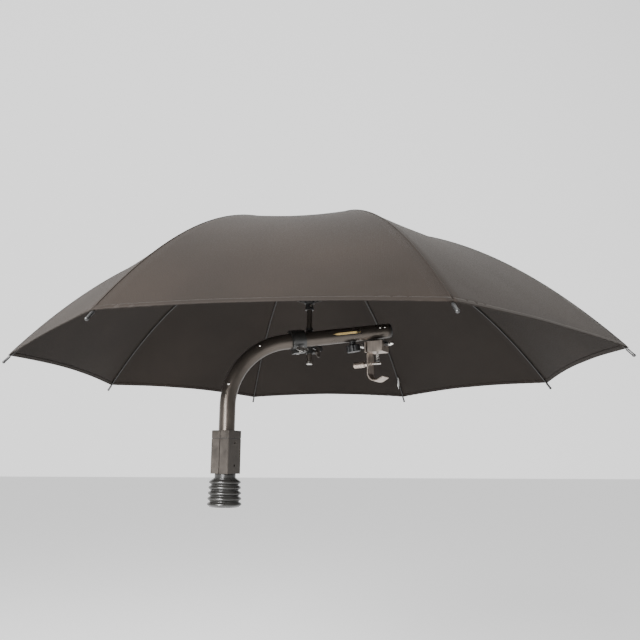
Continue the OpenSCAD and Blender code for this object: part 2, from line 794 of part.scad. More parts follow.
// Sleeve that guides the latch pin, on the outside of the strip
module latch_barrel()
    color([0.5, 0.47, 0.44]) at_hook() translate([0, 0, pin_z]) difference() {
        rod_x(5, -29, strip_x - strip_t / 2);
        rod_x(pin_r + run_fit, -40, 0);
    }

module latch_pin()
    color("silver") at_hook() translate([0, 0, pin_z]) rod_x(pin_r, -40, 11.5);

// Grooved finger grip on the pin
module latch_knob() {
    grip_r = 7.4;
    start = -59;
    end = -31;
    ribs = 4;
    pitch = (end - start) / ribs;
    color([0.62, 0.6, 0.57]) at_hook() translate([0, 0, pin_z]) rotate([0, 90, 0]) difference() {
        rotate_extrude() polygon(concat([[0, start]],
            [for (i = [0:ribs - 1], p = [[grip_r - 0.8, 0], [grip_r, 0.1], [grip_r, 0.7],
                                         [grip_r - 1.5, 0.76], [grip_r - 1.5, 0.94]])
                [p.x, start + pitch * (i + p.y)]],
            [[grip_r - 1.5, end], [0, end]]));
        translate([0, 0, -40]) cylinder(r = pin_r, h = 20);
    }
}

plunger_x = 2.6;
plunger_tip = 327.5;
plunger_travel = 8;

module plunger()
    color([0.2, 0.19, 0.18]) at_hook() translate([plunger_x, 0, 0]) {
        translate([0, 0, plunger_tip]) cylinder(r = 4.6, h = 2.5);
        translate([0, 0, plunger_tip + 2.5]) cylinder(r = 1.9, h = 22);
    }

module plunger_spring() {
    wire_r = 0.6;
    turns = 5;
    low = plunger_tip + 2.5 + wire_r;
    high = hook_block_bottom - wire_r;
    steps = 16 * turns;
    points = [for (i = [0:steps]) let (a = 360 * turns * i / steps)
        [3.4 * cos(a), 3.4 * sin(a), low + (high - low) * i / steps]];
    color("silver") at_hook() translate([plunger_x, 0, 0]) coil(points, wire_r);
}

// Round wire of six sides along points about the Z axis
module coil(points, r) {
    sides = 6;
    n = len(points);
    rings = [for (i = [0:n - 1], s = [0:sides - 1])
        let (p = points[i], out = [p.x, p.y, 0] / norm([p.x, p.y]), a = 360 * s / sides)
        p + out * r * cos(a) + [0, 0, r * sin(a)]];
    faces = concat(
        [for (i = [0:n - 2], s = [0:sides - 1])
            [i * sides + s, (i + 1) * sides + s, (i + 1) * sides + (s + 1) % sides,
             i * sides + (s + 1) % sides]],
        [[for (s = [0:sides - 1]) s]],
        [[for (s = [sides - 1:-1:0]) (n - 1) * sides + s]]);
    polyhedron(rings, faces);
}

// ---------- the parts ----------

mast_tube();
bellows();
bellows_collar();
block_half_left();
block_half_right();
block_shim();
block_top_clamp();
block_screws();
grub_screws();
arm_tube();
end_cap();
cap_screws();
arm_rivets();
knob_boss();
arm_knob();
arm_knob_stud();
jaw_liner();
jaw_rear();
jaw_front();
jaw_hinge_pin();
clamp_nut();
swivel_arm();
clamp_bolt();
clamp_wing();
shaft_socket();
swivel_rosette();
swivel_bolt();
swivel_lever();
socket_screw();
socket_wing();
shaft_ferrule();
shaft();
crown();
top_ferrule();
runner();
runner_collar();
runner_catch();
canopy();
rib_tips();
stretchers();
for (i = [1:rib_count]) rib(i);
hook_stud();
swivel_cap();
hook_block();
hook_axle();
dome_nuts();
axle_spacers();
j_hook();
latch_barrel();
latch_pin();
latch_knob();
plunger();
plunger_spring();
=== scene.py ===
"""Looks of the umbrella swivel bracket: an open umbrella held on a bent support arm."""
import json
import math

import bmesh
import bpy
import numpy as np
from mathutils import Matrix, Vector, noise


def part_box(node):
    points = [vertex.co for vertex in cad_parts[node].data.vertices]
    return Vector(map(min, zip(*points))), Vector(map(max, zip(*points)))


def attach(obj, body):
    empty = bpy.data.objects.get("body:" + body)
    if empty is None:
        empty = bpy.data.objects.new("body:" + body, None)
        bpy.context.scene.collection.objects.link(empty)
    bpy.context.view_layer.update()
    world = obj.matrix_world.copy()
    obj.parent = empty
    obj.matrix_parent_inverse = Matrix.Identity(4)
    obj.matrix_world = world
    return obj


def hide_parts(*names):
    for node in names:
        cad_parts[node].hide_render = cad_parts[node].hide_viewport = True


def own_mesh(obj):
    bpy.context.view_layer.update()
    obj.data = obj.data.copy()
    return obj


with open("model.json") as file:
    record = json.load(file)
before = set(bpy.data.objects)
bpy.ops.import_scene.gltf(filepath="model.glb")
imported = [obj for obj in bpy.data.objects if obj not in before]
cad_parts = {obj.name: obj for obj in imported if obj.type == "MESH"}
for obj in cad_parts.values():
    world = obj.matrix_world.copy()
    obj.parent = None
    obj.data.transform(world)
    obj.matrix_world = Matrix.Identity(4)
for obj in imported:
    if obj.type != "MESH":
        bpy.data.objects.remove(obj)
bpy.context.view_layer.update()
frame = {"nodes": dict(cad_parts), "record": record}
NODES = frame["nodes"]
MM = 0.001


# ---------- places taken from the frame ----------

def middle(node):
    """Centre of a CAD node's box."""
    low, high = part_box(node)
    return (Vector(low) + Vector(high)) / 2


def height(node, top=True):
    """Top or bottom of a CAD node."""
    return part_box(node)[1 if top else 0][2]


SHAFT = middle("shaft")
SHAFT.z = 0
CROWN_Z = height("shaft") - 2 * MM
RIBS = 8
RIB_PHASE = math.radians(1)
CANOPY_R = 650 * MM
CANOPY_RISE = 325 * MM
RIM_Z = CROWN_Z - CANOPY_RISE
PROFILE_POWER = 2.26
PROFILE_SHARE = 1.6
TUBE_R = 17.5 * MM
TUBE_BORE_R = 14.5 * MM
BEND_R = 153 * MM
BEND_START = 210 * MM
BEND = math.radians(80.5)
ARM_RUN = 258 * MM
TUBE_FOOT = height("arm_tube", top=False)
UP = Vector((0, 0, 1))


# ---------- camera ----------

CAMERA_PLACE = (-0.1786, -1.2885, 0.1009)
CAMERA_HEADING = (0.2353, 0.9719, 0)
CAMERA_PITCH = math.radians(12.73)
CAMERA_ROLL = 0.0121
CAMERA_SHIFT = (0.0503, 0.0084)
LENS_MM = 33.11
SENSOR_MM = 36


def add_camera():
    """The view from below and to the left, close enough to be a wide one."""
    heading = Vector(CAMERA_HEADING).normalized()
    right = Vector((heading.y, -heading.x, 0))
    ahead = heading * math.cos(CAMERA_PITCH) + UP * math.sin(CAMERA_PITCH)
    up = right.cross(ahead)
    x_axis = right * math.cos(CAMERA_ROLL) + up * math.sin(CAMERA_ROLL)
    y_axis = up * math.cos(CAMERA_ROLL) - right * math.sin(CAMERA_ROLL)
    data = bpy.data.cameras.new("camera")
    data.sensor_width = SENSOR_MM
    data.lens = LENS_MM
    data.shift_x, data.shift_y = CAMERA_SHIFT
    camera = bpy.data.objects.new("camera", data)
    camera.matrix_world = Matrix((x_axis, y_axis, -ahead)).transposed().to_4x4()
    camera.location = CAMERA_PLACE
    bpy.context.collection.objects.link(camera)
    bpy.context.scene.camera = camera


add_camera()


# ---------- materials ----------

def new_material(name):
    material = bpy.data.materials.new(name)
    material.use_nodes = True
    tree = material.node_tree
    return material, tree, tree.nodes["Principled BSDF"]


def node(tree, kind, **values):
    """A shader node with its properties and inputs set by name."""
    made = tree.nodes.new(kind)
    for key, value in values.items():
        if key in made.inputs:
            made.inputs[key].default_value = value
        else:
            setattr(made, key, value)
    return made


def coordinates(tree, scale=(1, 1, 1)):
    """Object coordinates, stretched by scale."""
    place = node(tree, "ShaderNodeTexCoord")
    mapping = node(tree, "ShaderNodeMapping")
    mapping.inputs["Scale"].default_value = scale
    tree.links.new(place.outputs["Object"], mapping.inputs["Vector"])
    return mapping.outputs["Vector"]


def noise_of(tree, vector, scale, detail=3, rough=0.55):
    made = node(tree, "ShaderNodeTexNoise", Scale=scale, Detail=detail, Roughness=rough)
    tree.links.new(vector, made.inputs["Vector"])
    return made.outputs["Fac"]


def ramp(tree, value, stops):
    """Colour ramp with (position, colour) stops."""
    made = node(tree, "ShaderNodeValToRGB")
    elements = made.color_ramp.elements
    while len(elements) < len(stops):
        elements.new(0.5)
    for element, (position, colour) in zip(elements, stops):
        element.position = position
        element.color = (*colour, 1)
    tree.links.new(value, made.inputs["Fac"])
    return made.outputs["Color"]


def remap(tree, value, before, after, curve="LINEAR"):
    """Maps a value from one (low, high) to another."""
    made = node(tree, "ShaderNodeMapRange", interpolation_type=curve)
    for name, number in zip(("From Min", "From Max", "To Min", "To Max"), (*before, *after)):
        made.inputs[name].default_value = number
    tree.links.new(value, made.inputs["Value"])
    return made.outputs["Result"]


def spread(tree, value, low, high):
    """Maps a noise value, which lies mostly within 0.3..0.7, to low..high."""
    return remap(tree, value, (0.3, 0.7), (low, high))


def bump(tree, value, strength, distance, before=None):
    made = node(tree, "ShaderNodeBump", Strength=strength, Distance=distance)
    tree.links.new(value, made.inputs["Height"])
    if before is not None:
        tree.links.new(before, made.inputs["Normal"])
    return made.outputs["Normal"]


def tinted(colour, factor):
    return tuple(min(1, c * factor) for c in colour)


def hard_material(name, colour, roughness, metallic=0.0, grain=900, grain_depth=0.00004,
                  patch=45, variation=0.25, coat=0.0, stretch=(1, 1, 1), specular=0.5):
    """Metal, paint or plastic: mottled colour and roughness, with a fine grain."""
    material, tree, shader = new_material(name)
    shader.inputs["Metallic"].default_value = metallic
    shader.inputs["Coat Weight"].default_value = coat
    shader.inputs["Coat Roughness"].default_value = 0.12
    shader.inputs["Specular IOR Level"].default_value = specular
    vector = coordinates(tree, stretch)
    patches = noise_of(tree, vector, patch, 4)
    fine = noise_of(tree, vector, grain, 2)
    colours = ramp(tree, patches, [(0.3, tinted(colour, 1 - variation)),
                                   (0.55, colour), (0.75, tinted(colour, 1 + variation))])
    tree.links.new(colours, shader.inputs["Base Color"])
    tree.links.new(spread(tree, patches, roughness * 0.8, roughness * 1.2),
                   shader.inputs["Roughness"])
    tree.links.new(bump(tree, fine, 0.35, grain_depth), shader.inputs["Normal"])
    return material


THREAD_SCALE = 130.0
SPECK_SHARE = 0.45


def cloth_material(name, colour, sheen):
    """Tight woven cloth: crossed threads, thread tone and broad shade changes."""
    material, tree, shader = new_material(name)
    shader.inputs["Sheen Weight"].default_value = sheen
    shader.inputs["Sheen Roughness"].default_value = 0.45
    shader.inputs["Sheen Tint"].default_value = (0.9, 0.84, 0.78, 1)
    shader.inputs["Specular IOR Level"].default_value = 0.14
    uv = node(tree, "ShaderNodeUVMap", uv_map="weave")
    threads = []
    for direction in ("X", "Y"):
        wave = node(tree, "ShaderNodeTexWave", bands_direction=direction,
                    Scale=THREAD_SCALE,
                    Distortion=0.6, Detail=1.0)
        tree.links.new(uv.outputs["UV"], wave.inputs["Vector"])
        threads.append(wave.outputs["Fac"])
    weave = node(tree, "ShaderNodeMath", operation="MULTIPLY")
    tree.links.new(threads[0], weave.inputs[0])
    tree.links.new(threads[1], weave.inputs[1])
    vector = coordinates(tree)
    broad = noise_of(tree, vector, 3.2, 3)
    specks = noise_of(tree, vector, 420, 2, 0.7)
    mixed = node(tree, "ShaderNodeMix", data_type="FLOAT")
    mixed.inputs[0].default_value = SPECK_SHARE
    tree.links.new(broad, mixed.inputs[2])
    tree.links.new(specks, mixed.inputs[3])
    colours = ramp(tree, mixed.outputs[0], [(0.36, tinted(colour, 0.72)), (0.5, colour),
                                            (0.64, tinted(colour, 1.35))])
    tree.links.new(colours, shader.inputs["Base Color"])
    tree.links.new(spread(tree, specks, 0.62, 0.8), shader.inputs["Roughness"])
    folds = bump(tree, broad, 0.25, 0.004)
    tree.links.new(bump(tree, weave.outputs[0], 0.4, 0.00025, folds), shader.inputs["Normal"])
    return material


def brushed_material(name, colour, roughness, stretch):
    """Satin metal with the lines of its last pass along one way."""
    return hard_material(name, colour, roughness, metallic=1.0, grain=260, grain_depth=0.00003,
                         patch=30, variation=0.18, stretch=stretch)


MATERIALS = {
    "dark_steel": hard_material("dark_steel", (0.06, 0.058, 0.055), 0.42, 0.8),
    "rubber": hard_material("rubber", (0.014, 0.0135, 0.0125), 0.3, grain=500,
                            grain_depth=0.0001, variation=0.35),
    "grey_alloy": hard_material("grey_alloy", (0.05, 0.043, 0.037), 0.44, 0.6, grain=700,
                                grain_depth=0.00006),
    "black_alloy": hard_material("black_alloy", (0.012, 0.012, 0.011), 0.38, grain=650,
                                 grain_depth=0.0001, coat=0.2),
    "black_tube": hard_material("black_tube", (0.075, 0.064, 0.055), 0.32, 0.75, grain=420,
                                grain_depth=0.00002, patch=18, variation=0.12, specular=0.3),
    "black_steel": hard_material("black_steel", (0.014, 0.013, 0.012), 0.34, 0.3),
    "black_plastic": hard_material("black_plastic", (0.012, 0.012, 0.012), 0.4, grain=800,
                                   grain_depth=0.00008),
    "bright_steel": brushed_material("bright_steel", (0.6, 0.58, 0.55), 0.22, (1, 1, 3)),
    "satin_steel": brushed_material("satin_steel", (0.46, 0.4, 0.35), 0.42, (8, 1, 1)),
    "canopy_cloth": cloth_material("canopy_cloth", (0.0115, 0.0085, 0.0066), 0.03),
    "thread": hard_material("thread", (0.02, 0.018, 0.016), 0.7, grain=1500),
    "label": hard_material("label", (0.7, 0.7, 0.68), 0.65, grain=900, variation=0.08),
    "gold": hard_material("gold", (1.0, 0.72, 0.3), 0.5, 0.5, variation=0.12),
}


def paint(piece, name):
    """Gives a piece one of the materials, whatever slots it has."""
    piece.data.materials.clear()
    piece.data.materials.append(MATERIALS[name])


def paint_frame():
    """Every CAD node takes the material that its record slot names."""
    for part in frame["record"]["subparts"]:
        paint(NODES[part["node"]], part["material_slot"])


paint_frame()


# ---------- mesh helpers ----------

def mesh_piece(name, vertices, faces, material, body, smooth=True):
    """A mesh object in the row frame that rides on a body."""
    mesh = bpy.data.meshes.new(name)
    mesh.from_pydata([tuple(v) for v in vertices], [], [tuple(f) for f in faces])
    mesh.validate()
    if smooth:
        mesh.polygons.foreach_set("use_smooth", [True] * len(mesh.polygons))
    mesh.materials.append(MATERIALS[material])
    piece = bpy.data.objects.new(name, mesh)
    bpy.context.collection.objects.link(piece)
    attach(piece, body)
    return piece


def face_outwards(piece):
    mesh = bmesh.new()
    mesh.from_mesh(piece.data)
    bmesh.ops.recalc_face_normals(mesh, faces=mesh.faces)
    mesh.to_mesh(piece.data)
    mesh.free()


WELD_GAP = 0.002 * MM
EDGE_ANGLE = math.radians(32)
EDGE_SEGMENTS = 2


def dressed(piece, width):
    """Shades a CAD part smoothly, with its hard edges rounded by width or left crisp."""
    mesh = piece.data
    mesh.polygons.foreach_set("use_smooth", [True] * len(mesh.polygons))
    if "custom_normal" in mesh.attributes:
        mesh.attributes.remove(mesh.attributes["custom_normal"])
    weld = piece.modifiers.new("weld", "WELD")
    weld.merge_threshold = WELD_GAP
    if width:
        rounding = piece.modifiers.new("rounding", "BEVEL")
        rounding.width = width
        rounding.segments = EDGE_SEGMENTS
        rounding.limit_method = "ANGLE"
        rounding.angle_limit = EDGE_ANGLE
        normals = piece.modifiers.new("normals", "WEIGHTED_NORMAL")
        normals.keep_sharp = True
    else:
        crisp = piece.modifiers.new("crisp", "EDGE_SPLIT")
        crisp.split_angle = EDGE_ANGLE


def upward(direction):
    """The direction or its opposite, whichever points up."""
    return -direction if direction.z < 0 else direction


def thicken(piece, thickness, offset):
    """Gives a sheet its thickness: offset 0 is about the middle, -1 is inward."""
    thick = piece.modifiers.new("thickness", "SOLIDIFY")
    thick.thickness = thickness
    thick.offset = offset


def grid_faces(steps, columns):
    """Faces of an open grid of steps + 1 rows."""
    return [(i * columns + s, i * columns + s + 1, (i + 1) * columns + s + 1,
             (i + 1) * columns + s) for i in range(steps) for s in range(columns - 1)]


def ring_faces(steps, sides):
    """Faces between steps + 1 closed rings."""
    return [(i * sides + s, i * sides + (s + 1) % sides, (i + 1) * sides + (s + 1) % sides,
             (i + 1) * sides + s) for i in range(steps) for s in range(sides)]


def swept(path, sides, radius, closed_ends=True):
    """Vertices and faces of a round tube along a list of points."""
    points = [Vector(p) for p in path]
    count = len(points)
    ahead = [(points[min(i + 1, count - 1)] - points[max(i - 1, 0)]).normalized()
             for i in range(count)]
    side = ahead[0].orthogonal().normalized()
    vertices = []
    for i, point in enumerate(points):
        side = (side - ahead[i] * side.dot(ahead[i])).normalized()
        across = ahead[i].cross(side)
        for s in range(sides):
            a = 2 * math.pi * s / sides
            vertices.append(point + (side * math.cos(a) + across * math.sin(a)) * radius)
    faces = ring_faces(count - 1, sides)
    if closed_ends:
        faces.append(tuple(reversed(range(sides))))
        faces.append(tuple((count - 1) * sides + s for s in range(sides)))
    return vertices, faces


def turned(profile, sides, centre):
    """Vertices and faces of a closed outline of (radius, z) turned about a vertical axis."""
    count = len(profile)
    vertices = [Vector((centre[0] + r * math.cos(2 * math.pi * s / sides),
                        centre[1] + r * math.sin(2 * math.pi * s / sides), z))
                for s in range(sides) for r, z in profile]
    faces = [(s * count + i, ((s + 1) % sides) * count + i,
              ((s + 1) % sides) * count + (i + 1) % count, s * count + (i + 1) % count)
             for s in range(sides) for i in range(count)]
    return vertices, faces


# ---------- canopy ----------

CLOTH_T = 0.7 * MM
SAG = 7 * MM
SAG_POWER = 0.8
HEM_INSET = 0.011
GORE_STEPS = 24
RADIAL_STEPS = 72
CROWDING = 0.93
T_START = 0.0125
HALF_GORE = math.pi / RIBS
ARC_OVER_RADIUS = 1.2

# Small folds, in millimetres. Reaches are shares of the radius or of half a gore's width.
FAN_DEPTH, FAN_REACH, FAN_WIDTH, FAN_COUNT = 1.6, 0.12, 0.35, 9
PUCKER_DEPTH, PUCKER_RATE, PUCKER_WIDTH = 0.35, 46, 0.10
CREASE_DEPTH, CREASE_SHIFT, CREASE_WIDTH = 0.45, 0.02, 0.012
LOOSE_DEPTH = 1.3


def rib_z(t):
    """Height of the canopy over a rib, by share of the radius."""
    return RIM_Z + CANOPY_RISE * (1 - (1 - PROFILE_SHARE) * t ** 2
                                  - PROFILE_SHARE * t ** PROFILE_POWER)


def cloth_point(t, a, gore):
    """Point on the cloth: t from crown to rim, a from one rib to the next (-1 to 1)."""
    bulge = 1 - a * a
    chord = math.cos(HALF_GORE) / math.cos(HALF_GORE * a)
    drawn = t * (1 - HEM_INSET * t ** 3 * bulge)
    r = CANOPY_R * drawn * chord
    angle = RIB_PHASE + (gore + 0.5 + a / 2) * 2 * HALF_GORE
    z = rib_z(drawn) - SAG * bulge * math.sin(math.pi * t ** SAG_POWER)
    return Vector((SHAFT.x + r * math.cos(angle), SHAFT.y + r * math.sin(angle), z))


def bell(distance, width):
    """One at no distance, close to nothing at twice the width."""
    return math.exp(-(distance / width) ** 2)


def pull_folds(t, a, gore):
    """Height of the small folds that fan in from a rib's tip and run along the seams."""
    from_rib = 1 - abs(a)
    side = 1 if a > 0 else -1
    phase = gore * 1.7 + side
    fan = math.sin(from_rib / (0.10 + 0.9 * (1.02 - t)) * FAN_COUNT + phase)
    fade = bell(1 - t, FAN_REACH) * bell(from_rib, FAN_WIDTH)
    pucker = math.sin(t * PUCKER_RATE + phase * 2) * bell(from_rib, PUCKER_WIDTH)
    crease = bell(a + CREASE_SHIFT, CREASE_WIDTH) * (0.3 + 0.7 * t)
    loose = noise.noise(Vector((t * 5 + gore * 7.3, a * 2.2, gore * 3.1)))
    return (FAN_DEPTH * fan * fade + PUCKER_DEPTH * pucker * from_rib * 6 * t
            + CREASE_DEPTH * crease + LOOSE_DEPTH * loose * from_rib) * MM


def folded_point(t, a, gore):
    """Point on the cloth with its small folds, which die out at the ribs."""
    point = cloth_point(t, a, gore)
    point.z += pull_folds(t, a, gore) * (1 - abs(a)) ** 0.5
    return point


def rib_directions(number):
    """Unit vectors out along a rib and sideways from it."""
    angle = RIB_PHASE + number * 2 * HALF_GORE
    return (Vector((math.cos(angle), math.sin(angle), 0)),
            Vector((-math.sin(angle), math.cos(angle), 0)))


def cloth_uv(t, a, gore):
    """Flat place of a point on its own gore, in metres, so the weave follows the panel."""
    along = t * CANOPY_R * ARC_OVER_RADIUS
    across = a * CANOPY_R * t * math.sin(HALF_GORE)
    return across + gore, along


def gore_shares():
    """Radial stations, closer together at the hem."""
    return [T_START + (1 - T_START) * (j / RADIAL_STEPS) ** CROWDING
            for j in range(RADIAL_STEPS + 1)]


def make_canopy():
    """One sheet for the eight sewn gores. The hems and seams are pieces of their own."""
    across = RIBS * GORE_STEPS
    vertices, uvs = [], []
    for t in gore_shares():
        for k in range(across):
            gore, step = divmod(k, GORE_STEPS)
            a = 2 * step / GORE_STEPS - 1
            vertices.append(folded_point(t, a, gore))
            uvs.append(cloth_uv(t, a, gore))
    faces = [tuple(reversed(face)) for face in ring_faces(RADIAL_STEPS, across)]
    canopy = mesh_piece("canopy_cloth", vertices, faces, "canopy_cloth", "umbrella")
    layer = canopy.data.uv_layers.new(name="weave")
    for polygon in canopy.data.polygons:
        for loop in polygon.loop_indices:
            layer.data[loop].uv = uvs[canopy.data.loops[loop].vertex_index]
    thicken(canopy, CLOTH_T, 0)
    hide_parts("canopy")
    return canopy


canopy = make_canopy()


SEAM_WIDTH, SEAM_T = 3 * MM, 0.2 * MM
SEAM_LIFT = CLOTH_T / 2 + 0.05 * MM
SEAM_START, SEAM_RUN, SEAM_STEPS = 0.04, 0.955, 60
HEM_SHARES = (0.9905, 0.993, 0.9955, 0.998, 1.0)
HEM_STEPS = 48
HEM_T = 0.3 * MM
HEM_LIFTS = (("outer", CLOTH_T / 2 + 0.15 * MM), ("inner", -CLOTH_T / 2 - 0.35 * MM))
NUDGE = 0.002


def cloth_frame(t, a, gore):
    """Point on the folded cloth, and unit vectors along it and out of it."""
    along = (folded_point(min(t + NUDGE, 1), a, gore)
             - folded_point(t - NUDGE, a, gore)).normalized()
    across = (folded_point(t, min(a + NUDGE, 1), gore)
              - folded_point(t, max(a - NUDGE, -1), gore)).normalized()
    return folded_point(t, a, gore), along, upward(across.cross(along).normalized())


def make_hem(gore):
    """Folded edge of one gore: a band on the outside of the cloth and one on the inside."""
    for side, lift in HEM_LIFTS:
        vertices = []
        for i in range(HEM_STEPS + 1):
            a = max(-0.999, min(0.999, -1 + 2 * i / HEM_STEPS))
            for t in HEM_SHARES:
                point, _, out = cloth_frame(t, a, gore)
                vertices.append(point + out * lift)
        hem = mesh_piece(f"hem_{side}_{gore + 1}", vertices,
                         grid_faces(HEM_STEPS, len(HEM_SHARES)), "canopy_cloth", "umbrella")
        thicken(hem, HEM_T, 0)


def make_seam(rib):
    """Raised band of the seam over one rib."""
    _, side = rib_directions(rib)
    columns = (-0.5, -0.25, 0, 0.25, 0.5)
    vertices = []
    for i in range(SEAM_STEPS + 1):
        t = SEAM_START + SEAM_RUN * i / SEAM_STEPS
        ahead = cloth_point(min(t + NUDGE, 1), -1, rib) - cloth_point(t - NUDGE, -1, rib)
        out = upward(side.cross(ahead.normalized()))
        for across in columns:
            crown = (1 - (2 * across) ** 2) * SEAM_T
            vertices.append(cloth_point(t, -1, rib) + side * SEAM_WIDTH * across
                            + out * (SEAM_LIFT + crown))
    seam = mesh_piece(f"seam_{rib + 1}", vertices, grid_faces(SEAM_STEPS, len(columns)),
                      "canopy_cloth", "umbrella")
    thicken(seam, SEAM_T, -1)


for number in range(RIBS):
    make_hem(number)
    make_seam(number)


# ---------- ribs, ties and label ----------

RIB_DROP = 1 * MM + 2 * MM + 0.9 * MM  # half the CAD cloth, the rib's radius and a gap
RIB_START = 10.6 * MM
RIB_STEPS = 90
RIB_TAPER = 0.25
# Folded channel, open side up, as (sideways, up) in millimetres from the rib's centre
RIB_SECTION = [(-2.0, 1.6), (-2.0, -1.2), (-1.4, -1.9), (1.4, -1.9), (2.0, -1.2), (2.0, 1.6),
               (1.3, 1.6), (1.3, -0.8), (0.9, -1.2), (-0.9, -1.2), (-1.3, -0.8), (-1.3, 1.6)]
TIE_SHARES = (0.3, 0.52, 0.74, 0.93)
TIE_WRAPS = (-0.6, 0.0, 0.6)
TIE_HALF_WIDTH, TIE_HALF_HEIGHT = 2.6 * MM, 2.9 * MM
TIE_RISE = 0.3 * MM
TIE_STEPS = 14
THREAD_R = 0.32 * MM
LABEL_T, LABEL_A = 0.93, 0.985
LABEL_WIDTH, LABEL_DROP, LABEL_THICKNESS = 17 * MM, 22 * MM, 0.3 * MM
LABEL_ROWS = 8


def rib_centre(t):
    """Distance from the shaft and height of a rib's centre."""
    grade = (rib_z(t + 0.001) - rib_z(t - 0.001)) / (0.002 * CANOPY_R)
    n = 1 / math.sqrt(1 + grade * grade)
    return CANOPY_R * t + RIB_DROP * grade * n, rib_z(t) - RIB_DROP * n


def make_rib(number):
    """One rib: a folded channel, open side up, that follows the cloth."""
    out, side = rib_directions(number)
    start = RIB_START / CANOPY_R
    vertices = []
    for i in range(RIB_STEPS + 1):
        t = start + (1 - start) * i / RIB_STEPS
        r, z = rib_centre(t)
        r2, z2 = rib_centre(min(t + NUDGE, 1 + NUDGE))
        r1, z1 = rib_centre(t - NUDGE)
        ahead = (out * (r2 - r1) + Vector((0, 0, z2 - z1))).normalized()
        lift = upward(side.cross(ahead))
        point = Vector((SHAFT.x, SHAFT.y, z)) + out * r
        narrow = 1 - RIB_TAPER * t
        vertices += [point + (side * x + lift * y) * MM * narrow for x, y in RIB_SECTION]
    n = len(RIB_SECTION)
    faces = ring_faces(RIB_STEPS, n)
    faces += [tuple(range(n)), tuple(reversed([RIB_STEPS * n + s for s in range(n)]))]
    rib = mesh_piece(f"rib_channel_{number + 1}", vertices, faces, "black_steel", "umbrella",
                     smooth=False)
    face_outwards(rib)
    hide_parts(f"rib_{number + 1}")


def make_ties(number):
    """Thread loops that hold the cloth to one rib."""
    out, side = rib_directions(number)
    vertices, faces = [], []
    for t in TIE_SHARES:
        r, z = rib_centre(t)
        centre = Vector((SHAFT.x, SHAFT.y, z + TIE_RISE)) + out * r
        for wrap in TIE_WRAPS:
            turns = [2 * math.pi * k / TIE_STEPS for k in range(TIE_STEPS + 1)]
            ring = [centre + out * wrap * MM + side * TIE_HALF_WIDTH * math.cos(turn)
                    + UP * TIE_HALF_HEIGHT * math.sin(turn) for turn in turns]
            v, f = swept(ring, 6, THREAD_R)
            faces += [tuple(index + len(vertices) for index in face) for face in f]
            vertices += v
    mesh_piece(f"rib_ties_{number + 1}", vertices, faces, "thread", "umbrella")


for number in range(RIBS):
    make_rib(number)
    make_ties(number)


def make_care_label():
    """Small plain tag sewn into one seam on the inside."""
    point, along, out = cloth_frame(LABEL_T, LABEL_A, 0)
    columns = (-0.5, -0.17, 0.17, 0.5)
    vertices = []
    for j in range(LABEL_ROWS + 1):
        fall = -UP * LABEL_DROP * j / LABEL_ROWS
        curl = -out * (2 + 5 * (j / LABEL_ROWS) ** 2) * MM
        vertices += [point + along * LABEL_WIDTH * s + fall + curl for s in columns]
    label = mesh_piece("care_label", vertices, grid_faces(LABEL_ROWS, len(columns)), "label",
                       "umbrella")
    thicken(label, LABEL_THICKNESS, -1)


make_care_label()


# ---------- arm tube ----------

TUBE_SIDES = 72
# Each line's place round the tube in degrees, and its start and end along the straight run
PINSTRIPES = ((1, 118, 174), (7, 112, 180), (13, 118, 174))
STRIPE_STEPS = 30
STRIPE_HALF, STRIPE_END = 0.9, 0.15
STRIPE_DEGREES = 2.4
STRIPE_LIFT = 0.06 * MM


def along_arm(distance):
    """Point on the straight run and its direction."""
    end = Vector((BEND_R * (1 - math.cos(BEND)), 0, BEND_START + BEND_R * math.sin(BEND)))
    way = Vector((math.sin(BEND), 0, math.cos(BEND)))
    return end + way * distance, way


def arm_path():
    """Centre line of the bent tube, from its foot to its tip."""
    points = [Vector((0, 0, z)) for z in np.linspace(TUBE_FOOT, BEND_START, 14)]
    for a in np.linspace(0, BEND, 49)[1:]:
        points.append(Vector((BEND_R * (1 - math.cos(a)), 0, BEND_START + BEND_R * math.sin(a))))
    return points + [along_arm(s)[0] for s in np.linspace(0, ARM_RUN, 24)[1:]]


def make_arm_tube():
    """The tube in one piece, with its wall."""
    path = arm_path()
    outer, outer_faces = swept(path, TUBE_SIDES, TUBE_R, closed_ends=False)
    inner, inner_faces = swept(path, TUBE_SIDES, TUBE_BORE_R, closed_ends=False)
    n = len(outer)
    faces = outer_faces + [tuple(reversed([i + n for i in f])) for f in inner_faces]
    last = n - TUBE_SIDES
    for s in range(TUBE_SIDES):
        after = (s + 1) % TUBE_SIDES
        faces.append((after, s, n + s, n + after))
        faces.append((last + s, last + after, n + last + after, n + last + s))
    tube = mesh_piece("arm_tube_skin", outer + inner, faces, "black_tube", "arm")
    face_outwards(tube)
    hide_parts("arm_tube")


def make_pinstripes():
    """Plain gold lines on the side of the tube, where a maker would put a mark."""
    vertices, faces = [], []
    for place, start, stop in PINSTRIPES:
        first = len(vertices)
        for i in range(STRIPE_STEPS + 1):
            share = i / STRIPE_STEPS
            centre, way = along_arm((start + (stop - start) * share) * MM)
            up = Vector((-way.z, 0, way.x))
            half = STRIPE_HALF * min(1, 6 * share, 6 * (1 - share)) + STRIPE_END
            for edge in (-half, half):
                a = math.radians(place + edge * STRIPE_DEGREES)
                vertices.append(centre + (up * math.sin(a) + Vector((0, -1, 0)) * math.cos(a))
                                * (TUBE_R + STRIPE_LIFT))
        faces += [(first + 2 * i, first + 2 * i + 2, first + 2 * i + 3, first + 2 * i + 1)
                  for i in range(STRIPE_STEPS)]
    mesh_piece("tube_pinstripes", vertices, faces, "gold", "arm")


make_arm_tube()
make_pinstripes()


# ---------- bellows ----------

FOLDS = 5
FOLD_STEPS = 28
# Radius of a crest at the foot, its loss up to the top, and the depth of a root
CREST_R, CREST_TAPER, ROOT_DEPTH = 36.5, 3, 5.2
ROOT_POWER = 1.6
RUBBER_WALL = 2.2 * MM


